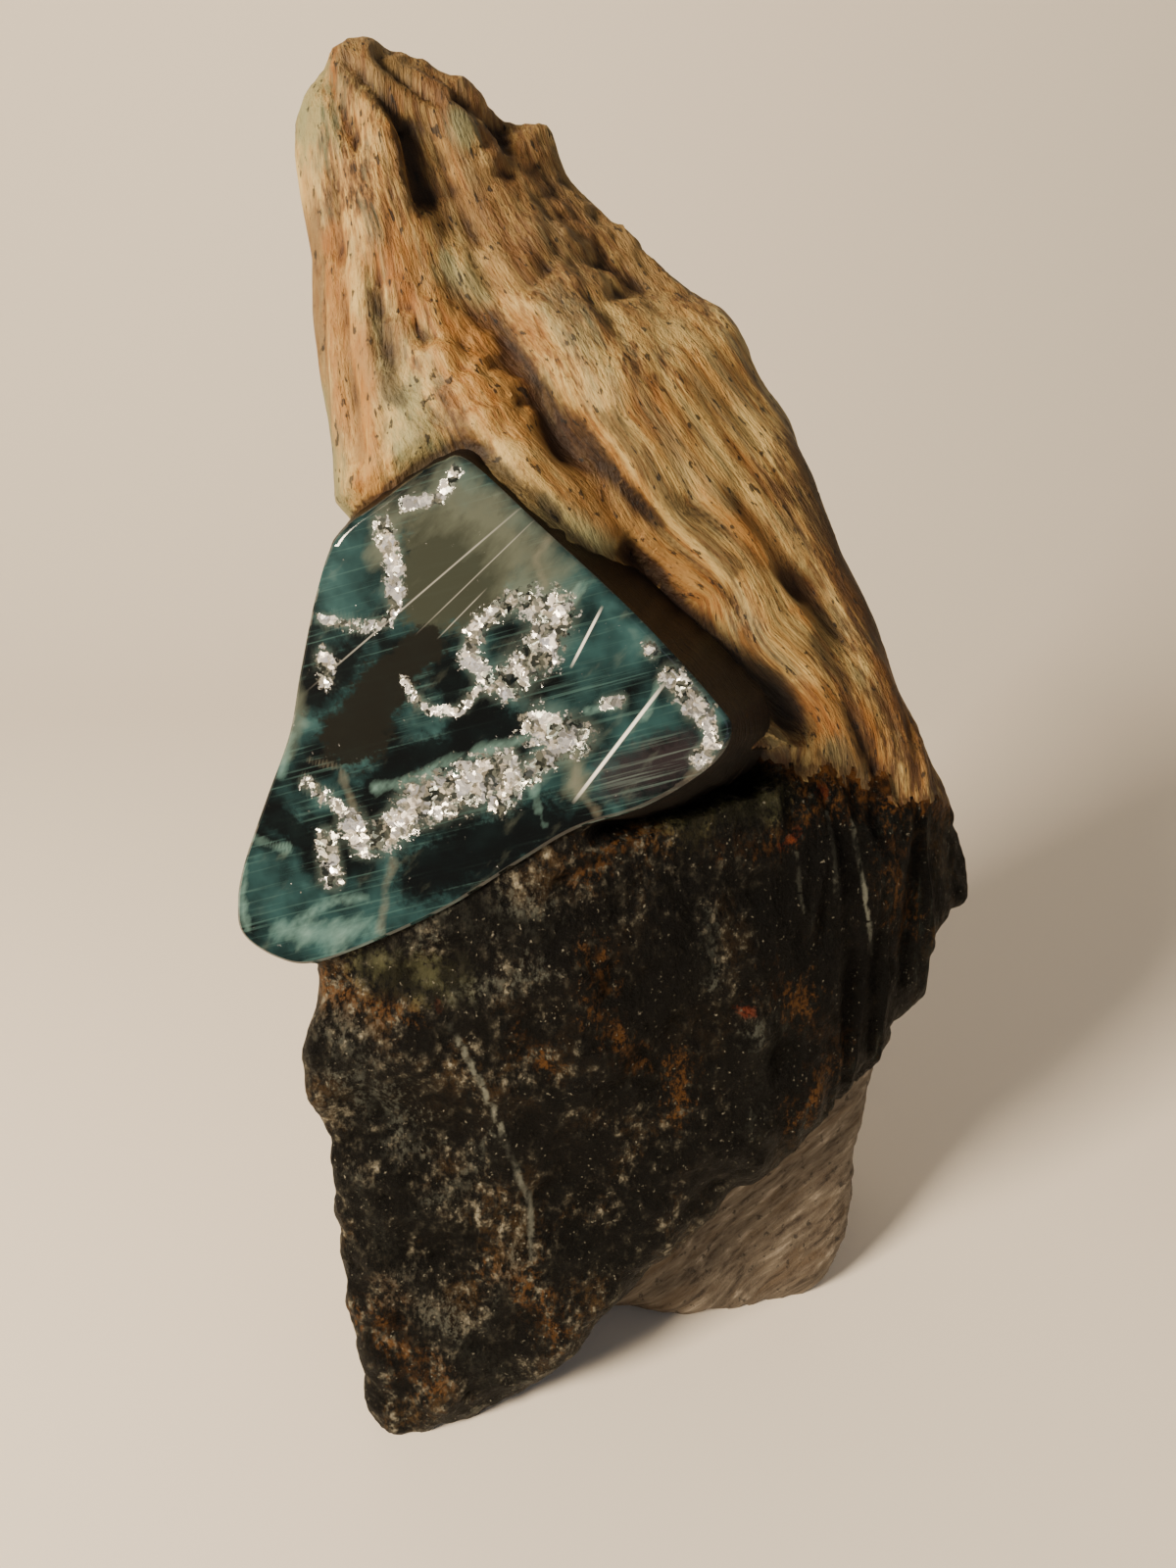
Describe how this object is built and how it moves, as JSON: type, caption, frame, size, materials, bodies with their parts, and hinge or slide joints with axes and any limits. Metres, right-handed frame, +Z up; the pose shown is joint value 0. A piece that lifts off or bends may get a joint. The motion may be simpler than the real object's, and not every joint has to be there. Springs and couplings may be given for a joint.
{
  "type": "rough clinochlore stone",
  "caption": "Rough lump of clinochlore with a fibrous tan rind, a dark slab below and a polished window cut across its front.",
  "frame": {"origin": "on the flat resting face, under the middle of the stone", "axes": "+Z up along the stone's height, the polished window looks towards -Y, +X to the right of someone facing it"},
  "size_m": [0.0794, 0.0559, 0.1457],
  "materials": {
    "stone": "broken rock, tan and fibrous above and dark and mottled below, with one polished green face"
  },
  "bodies": {
    "root": {"stone": "stone"}
  },
  "joints": []
}
